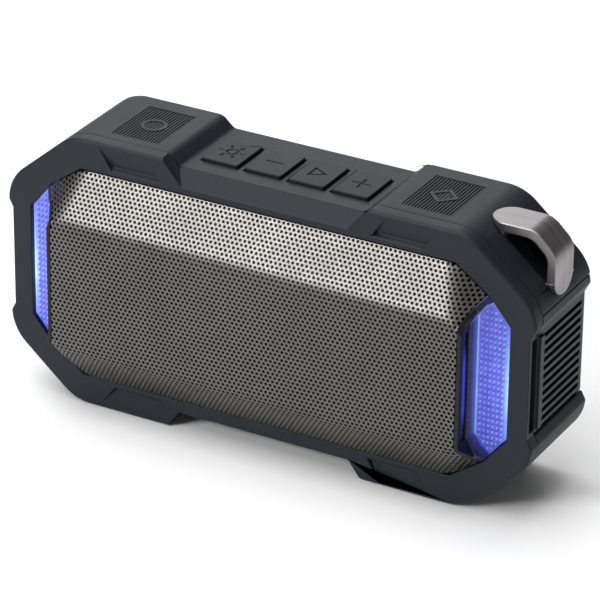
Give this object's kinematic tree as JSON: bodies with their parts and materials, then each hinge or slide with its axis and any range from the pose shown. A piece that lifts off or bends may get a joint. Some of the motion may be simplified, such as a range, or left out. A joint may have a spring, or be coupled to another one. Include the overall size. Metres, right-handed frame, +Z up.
{
  "type": "shower speaker",
  "caption": "Rugged octagonal wireless shower speaker with a bulging mesh front, lit end lenses, top keys, passive radiators, a metal strap bar and a covered socket bay.",
  "frame": {"origin": "centre of the footprint on the ground plane, under the middle of the case", "axes": "+X along the case towards the end with the strap bar, +Y to the back, +Z up"},
  "size_m": [0.186, 0.048, 0.0934],
  "materials": {
    "cover_grey": "soft-touch charcoal, fine spark texture",
    "key_grey": "soft-touch charcoal, slightly smoother than the covers",
    "panel_grey": "moulded dark grey, fine texture",
    "mesh_steel": "perforated sheet, lacquered silver grey",
    "felt": "thin black acoustic cloth",
    "trim_black": "satin black moulding",
    "frame_gloss": "smoked, blue where the light leaks through",
    "lens_clear": "clear moulded prism lens lit blue",
    "board_green": "solder mask",
    "seal_rubber": "moulded black rubber",
    "inner_plastic": "moulded black plastic",
    "frame_steel": "black coated pressed steel",
    "magnet_steel": "zinc plated steel",
    "cone_plastic": "moulded cone",
    "coil_copper": "enamelled wire",
    "plate_aluminium": "satin",
    "part_metal": "plated sheet metal",
    "cell_wrap": "shrink wrapped cell",
    "bar_metal": "brushed and lacquered",
    "screw_steel": "zinc plated"
  },
  "bodies": {
    "case": {"front_bezel": "cover_grey", "grille": "mesh_steel", "grille_felt": "felt", "cheek_left": "trim_black", "cheek_right": "trim_black", "lens_frame_left": "frame_gloss", "lens_frame_right": "frame_gloss", "lens_left": "lens_clear", "lens_right": "lens_clear", "light_guide_left": "lens_clear", "light_guide_right": "lens_clear", "led_board_left": "board_green", "led_board_right": "board_green", "front_gasket": "seal_rubber", "baffle": "inner_plastic", "chassis": "inner_plastic", "top_cover": "cover_grey", "bottom_cover": "cover_grey", "end_panel_left": "panel_grey", "end_panel_right": "panel_grey", "rear_cover": "panel_grey", "driver_frame_left": "frame_steel", "driver_frame_right": "frame_steel", "driver_surround_left": "seal_rubber", "driver_surround_right": "seal_rubber", "driver_magnet_left": "magnet_steel", "driver_magnet_right": "magnet_steel", "radiator_frame_left": "inner_plastic", "radiator_frame_right": "inner_plastic", "radiator_surround_left": "seal_rubber", "radiator_surround_right": "seal_rubber", "key_board": "board_green", "key_switches": "part_metal", "main_board": "board_green", "board_parts": "part_metal", "usb_socket": "part_metal", "aux_socket": "inner_plastic", "board_carrier": "inner_plastic", "battery": "cell_wrap", "battery_cradle": "inner_plastic", "strap_bar": "bar_metal", "bar_screw": "screw_steel", "case_screws": "screw_steel", "driver_screws": "screw_steel", "board_screws": "screw_steel"},
    "key_light": {"key_light": "key_grey"},
    "key_minus": {"key_minus": "key_grey"},
    "key_play": {"key_play": "key_grey"},
    "key_plus": {"key_plus": "key_grey"},
    "cone_left": {"driver_cone_left": "cone_plastic", "voice_coil_left": "coil_copper", "dust_cap_left": "cone_plastic"},
    "cone_right": {"driver_cone_right": "cone_plastic", "voice_coil_right": "coil_copper", "dust_cap_right": "cone_plastic"},
    "radiator_left": {"radiator_plate_left": "plate_aluminium"},
    "radiator_right": {"radiator_plate_right": "plate_aluminium"},
    "port_cover": {"port_cover": "seal_rubber"}
  },
  "joints": [
    {"name": "key_light_press", "type": "slide", "parent": "case", "child": "key_light", "axis": [0, 0, -1], "range_m": [0, 0.0006], "stiffness_N_per_m": 2500},
    {"name": "key_minus_press", "type": "slide", "parent": "case", "child": "key_minus", "axis": [0, 0, -1], "range_m": [0, 0.0006], "stiffness_N_per_m": 2500},
    {"name": "key_play_press", "type": "slide", "parent": "case", "child": "key_play", "axis": [0, 0, -1], "range_m": [0, 0.0006], "stiffness_N_per_m": 2500},
    {"name": "key_plus_press", "type": "slide", "parent": "case", "child": "key_plus", "axis": [0, 0, -1], "range_m": [0, 0.0006], "stiffness_N_per_m": 2500},
    {"name": "cone_left_travel", "type": "slide", "parent": "case", "child": "cone_left", "axis": [0, -1, 0], "range_m": [-0.0015, 0.0015], "stiffness_N_per_m": 1200},
    {"name": "cone_right_travel", "type": "slide", "parent": "case", "child": "cone_right", "axis": [0, -1, 0], "range_m": [-0.0015, 0.0015], "stiffness_N_per_m": 1200},
    {"name": "radiator_left_travel", "type": "slide", "parent": "case", "child": "radiator_left", "axis": [-1, 0, 0], "range_m": [-0.0015, 0.0015], "stiffness_N_per_m": 700},
    {"name": "radiator_right_travel", "type": "slide", "parent": "case", "child": "radiator_right", "axis": [1, 0, 0], "range_m": [-0.0015, 0.0015], "stiffness_N_per_m": 700},
    {"name": "port_cover_hinge", "type": "hinge", "parent": "case", "child": "port_cover", "pos_m": [0, 0.0223, 0.045], "axis": [-1, 0, 0], "range_deg": [0, 110]}
  ]
}
